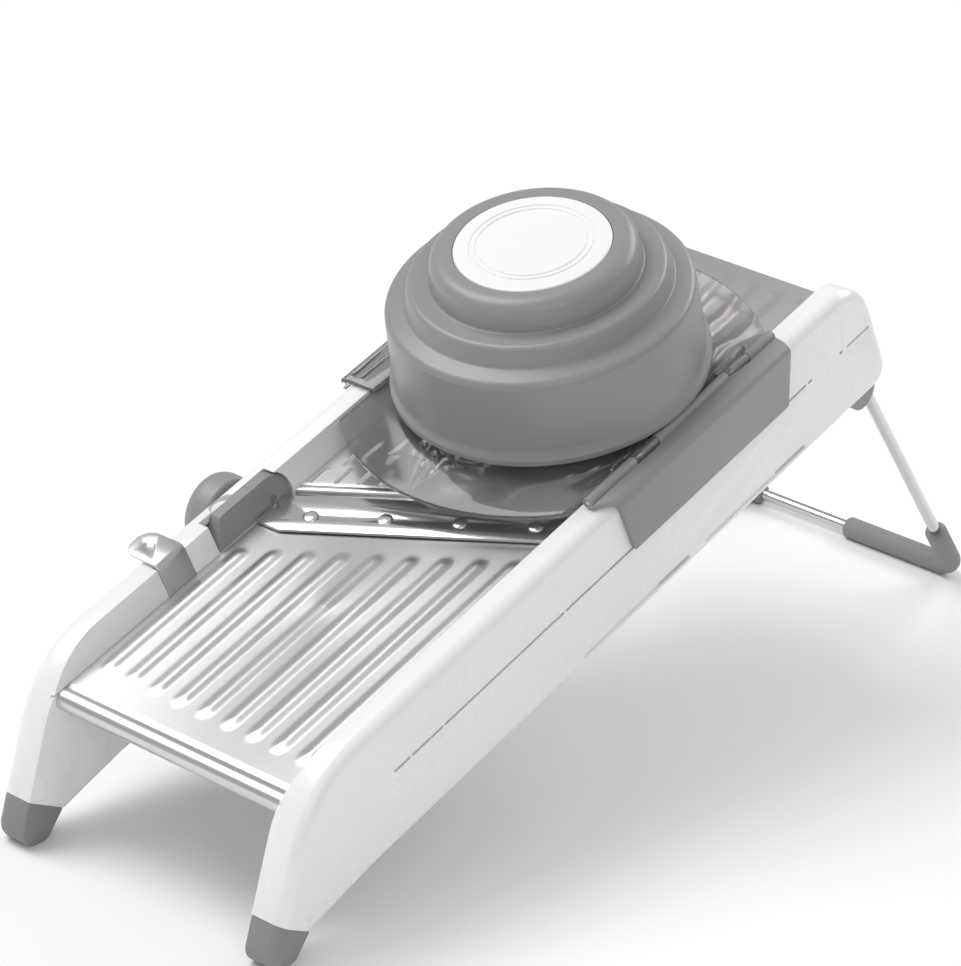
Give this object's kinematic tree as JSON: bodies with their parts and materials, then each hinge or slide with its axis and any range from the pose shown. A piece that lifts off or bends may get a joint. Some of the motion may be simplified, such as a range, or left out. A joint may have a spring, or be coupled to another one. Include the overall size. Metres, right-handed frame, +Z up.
{
  "type": "mandoline slicer",
  "caption": "Adjustable mandoline slicer with a diagonal blade, ribbed steel deck, sliding food holder with a domed pusher, and a folding wire stand.",
  "frame": {"origin": "middle of the footprint at floor level, under the bounding box of the open slicer", "axes": "+Z up, +Y rearwards up the sloping deck, +X to the right seen from the low front end"},
  "size_m": [0.1568, 0.4584, 0.2128],
  "materials": {
    "white_plastic": "gloss",
    "grey_plastic": "satin",
    "cup_grey": "satin",
    "grey_grip": "satin",
    "clear_plastic": "clear, smoked",
    "deck_steel": "satin",
    "blade_steel": "polished",
    "screw_steel": "satin",
    "chrome_wire": "polished"
  },
  "bodies": {
    "frame": {"left_rail": "white_plastic", "right_rail": "white_plastic", "left_foot": "grey_grip", "right_foot": "grey_grip", "front_cross_bar": "white_plastic", "rear_cross_bar": "white_plastic", "cross_bar_screws": "screw_steel", "run_out_plate": "deck_steel", "blade_spacer": "deck_steel", "main_blade": "blade_steel", "blade_rivets": "blade_steel", "comb_guides": "white_plastic", "blade_lock_pin": "screw_steel", "run_in_hinge_rod": "screw_steel", "left_stand_clip": "grey_plastic", "right_stand_clip": "grey_plastic"},
    "run_in": {"run_in_plate": "deck_steel", "run_in_frame": "white_plastic"},
    "dial": {"thickness_knob": "grey_plastic", "dial_shaft": "screw_steel"},
    "comb": {"julienne_comb": "blade_steel", "julienne_selector": "deck_steel"},
    "lock": {"blade_lock": "grey_plastic"},
    "holder": {"holder_tray": "clear_plastic", "guide_hinge_pin": "screw_steel"},
    "side_guide": {"right_guide": "grey_plastic"},
    "cup": {"pusher_cup": "cup_grey", "cup_cap": "white_plastic", "prong_spring": "screw_steel"},
    "prongs": {"prong_plate": "clear_plastic", "plunger_stem": "screw_steel", "stem_screw": "screw_steel"},
    "stand": {"stand_wire": "chrome_wire", "left_stand_sleeve": "grey_grip", "right_stand_sleeve": "grey_grip"}
  },
  "joints": [
    {"name": "dial_turn", "type": "hinge", "parent": "frame", "child": "dial", "pos_m": [-0.06325, -0.10163, 0.08847], "axis": [-1, 0, 0], "range_deg": [0, 73]},
    {"name": "run_in_tilt", "type": "hinge", "parent": "frame", "child": "run_in", "pos_m": [0.00675, 0.10044, 0.15714], "axis": [1, 0, 0], "range_deg": [0, 2.65]},
    {"name": "comb_lift", "type": "slide", "parent": "frame", "child": "comb", "axis": [0, -0.3107, 0.9505], "range_m": [0, 0.0033]},
    {"name": "lock_flip", "type": "hinge", "parent": "frame", "child": "lock", "pos_m": [-0.05225, -0.09675, 0.10058], "axis": [-1, 0, 0], "range_deg": [0, 45]},
    {"name": "holder_slide", "type": "slide", "parent": "frame", "child": "holder", "axis": [0, 0.9505, 0.3107], "range_m": [-0.105, 0.03]},
    {"name": "guide_flip", "type": "hinge", "parent": "holder", "child": "side_guide", "pos_m": [0.06835, -0.00131, 0.1443], "axis": [0, -0.9505, -0.3107], "range_deg": [0, 60]},
    {"name": "pusher_lift", "type": "slide", "parent": "holder", "child": "cup", "axis": [0, -0.3107, 0.9505], "range_m": [0, 0.05]},
    {"name": "prong_float", "type": "slide", "parent": "cup", "child": "prongs", "axis": [0, -0.3107, 0.9505], "range_m": [0, 0.014], "stiffness_N_per_m": 250, "springref_m": -0.01, "deforming": ["prong_spring"]},
    {"name": "stand_fold", "type": "hinge", "parent": "frame", "child": "stand", "pos_m": [0.00675, 0.12082, 0.12698], "axis": [-1, 0, 0], "range_deg": [0, 104]}
  ],
  "couplings": [
    {"joint": "run_in_tilt", "follows": "dial_turn", "ratio": 0.03603}
  ]
}
